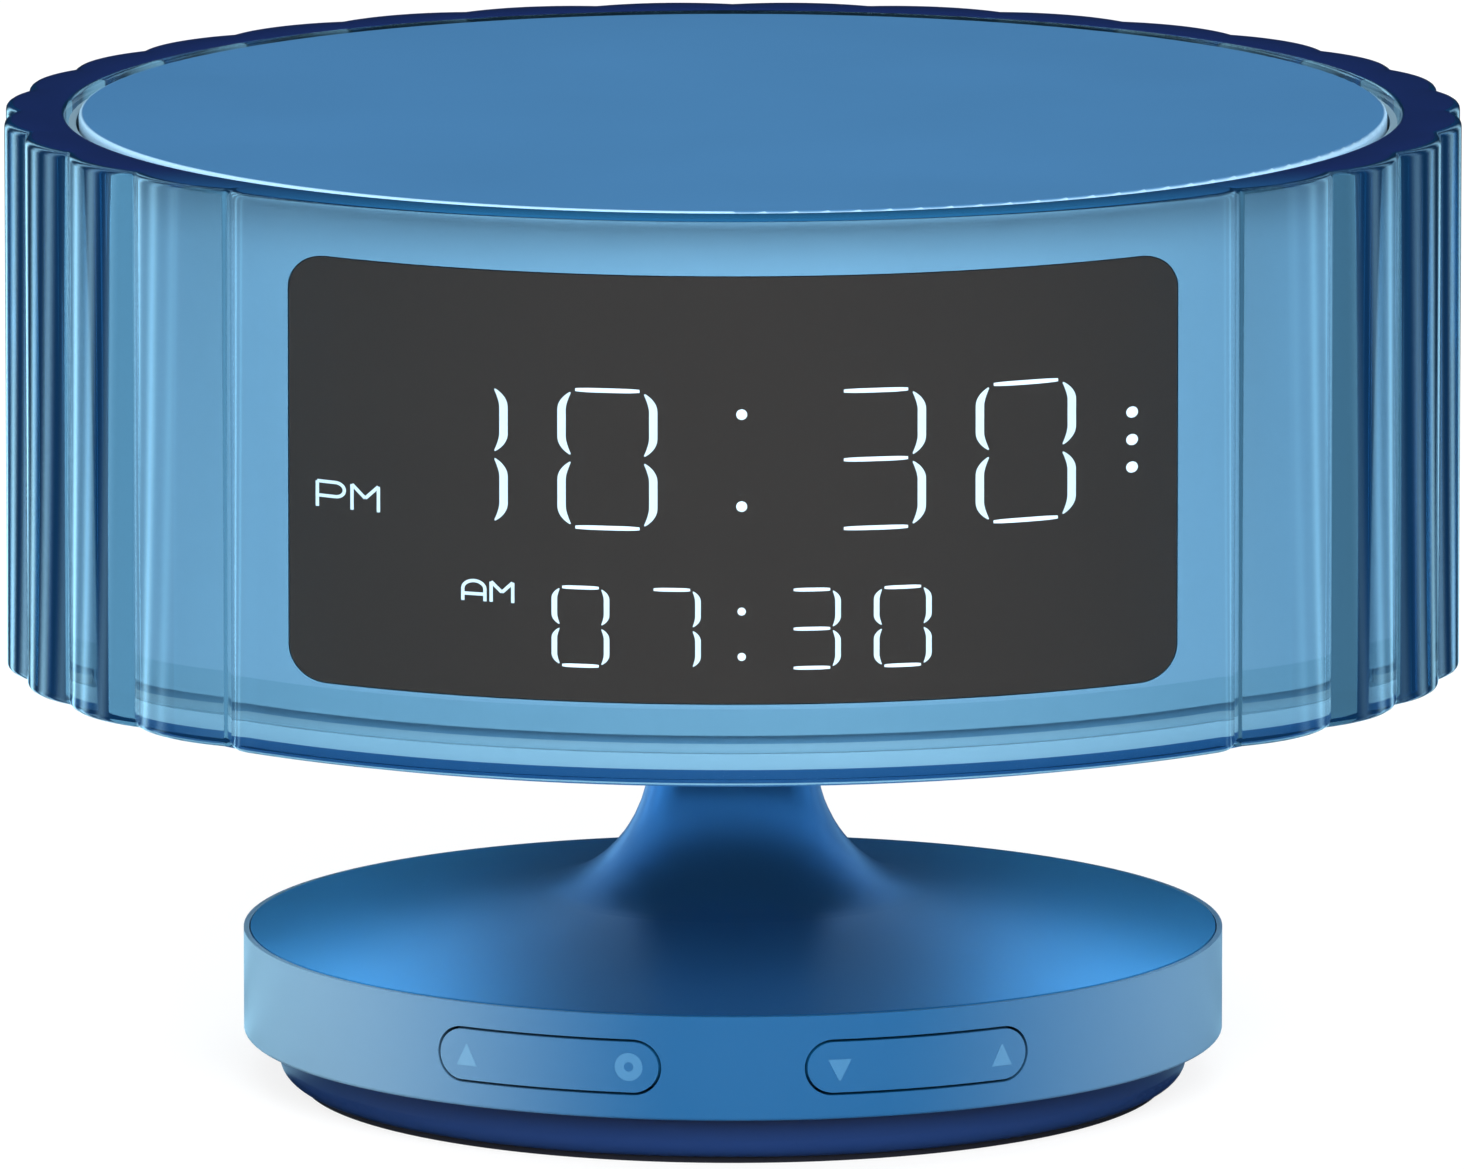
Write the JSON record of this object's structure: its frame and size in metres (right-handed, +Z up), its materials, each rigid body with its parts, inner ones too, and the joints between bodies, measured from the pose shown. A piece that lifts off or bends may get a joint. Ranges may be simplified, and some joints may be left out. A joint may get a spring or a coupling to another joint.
{
  "type": "desk alarm clock",
  "caption": "Drum-shaped desk alarm clock in a clear fluted shell, on a flared pedestal with a round base, with a press-down snooze top and two rocker keys.",
  "frame": {"origin": "middle of the foot ring, on the table", "axes": "+Z up, -Y towards the display, +X to the viewer's right"},
  "size_m": [0.1296, 0.1297, 0.0879],
  "materials": {
    "clear_blue": "clear, tinted blue",
    "satin_blue": "satin",
    "base_blue": "satin",
    "key_blue": "satin",
    "navy": "satin",
    "smoked": "smoked, glossy",
    "milky": "milky",
    "black_rubber": "matt",
    "white_plastic": "matt",
    "black_plastic": "matt",
    "board_green": "solder mask",
    "steel": "zinc plated",
    "nickel": "nickel plated",
    "cell_jacket": "printed jacket, no print",
    "paper_cone": "paper",
    "ferrite": "ferrite",
    "wire_sleeve": "matt"
  },
  "bodies": {
    "clock": {"foot_ring": "black_rubber", "bottom_cover": "navy", "battery_cell_1": "cell_jacket", "battery_cell_2": "cell_jacket", "battery_cell_3": "cell_jacket", "contact_plates": "nickel", "contact_springs": "nickel", "base_ring": "base_blue", "pedestal": "base_blue", "base_screws": "steel", "key_pins": "steel", "key_board_left": "board_green", "key_board_right": "board_green", "key_switches": "black_plastic", "base_board": "board_green", "power_socket": "steel", "harness_sockets": "white_plastic", "harness_plugs": "white_plastic", "wire_harness": "wire_sleeve", "neck_washer": "steel", "neck_nut": "steel", "head_floor": "satin_blue", "light_ring": "milky", "lamp_board": "board_green", "lamps": "white_plastic", "drum_screws": "steel", "clear_shell": "clear_blue", "inner_drum": "satin_blue", "display_window": "smoked", "segment_frame": "black_plastic", "display_board": "board_green", "main_board": "board_green", "display_header": "black_plastic", "board_chips": "black_plastic", "speaker_basket": "black_plastic", "speaker_cone": "paper_cone", "speaker_magnet": "ferrite", "snooze_board": "board_green", "snooze_switch": "black_plastic", "plate_springs": "steel", "board_screws": "steel"},
    "left_key": {"key_left": "key_blue"},
    "right_key": {"key_right": "key_blue"},
    "top_plate": {"snooze_plate": "satin_blue"},
    "door": {"battery_door": "navy"}
  },
  "joints": [
    {"name": "left_key_rock", "type": "hinge", "parent": "clock", "child": "left_key", "pos_m": [-0.01506, -0.03673, 0.00941], "axis": [0, 0, 1], "range_deg": [-1.5, 1.5], "stiffness_Nm_per_rad": 0.06},
    {"name": "right_key_rock", "type": "hinge", "parent": "clock", "child": "right_key", "pos_m": [0.01506, -0.03673, 0.00941], "axis": [0, 0, 1], "range_deg": [-1.5, 1.5], "stiffness_Nm_per_rad": 0.06},
    {"name": "snooze_press", "type": "slide", "parent": "clock", "child": "top_plate", "axis": [0, 0, -1], "range_m": [0, 0.0009], "stiffness_N_per_m": 1500, "springref_m": -0.0006, "deforming": ["plate_springs"]},
    {"name": "battery_door_lift", "type": "slide", "parent": "clock", "child": "door", "axis": [0, 0, -1], "range_m": [0, 0.014]}
  ]
}
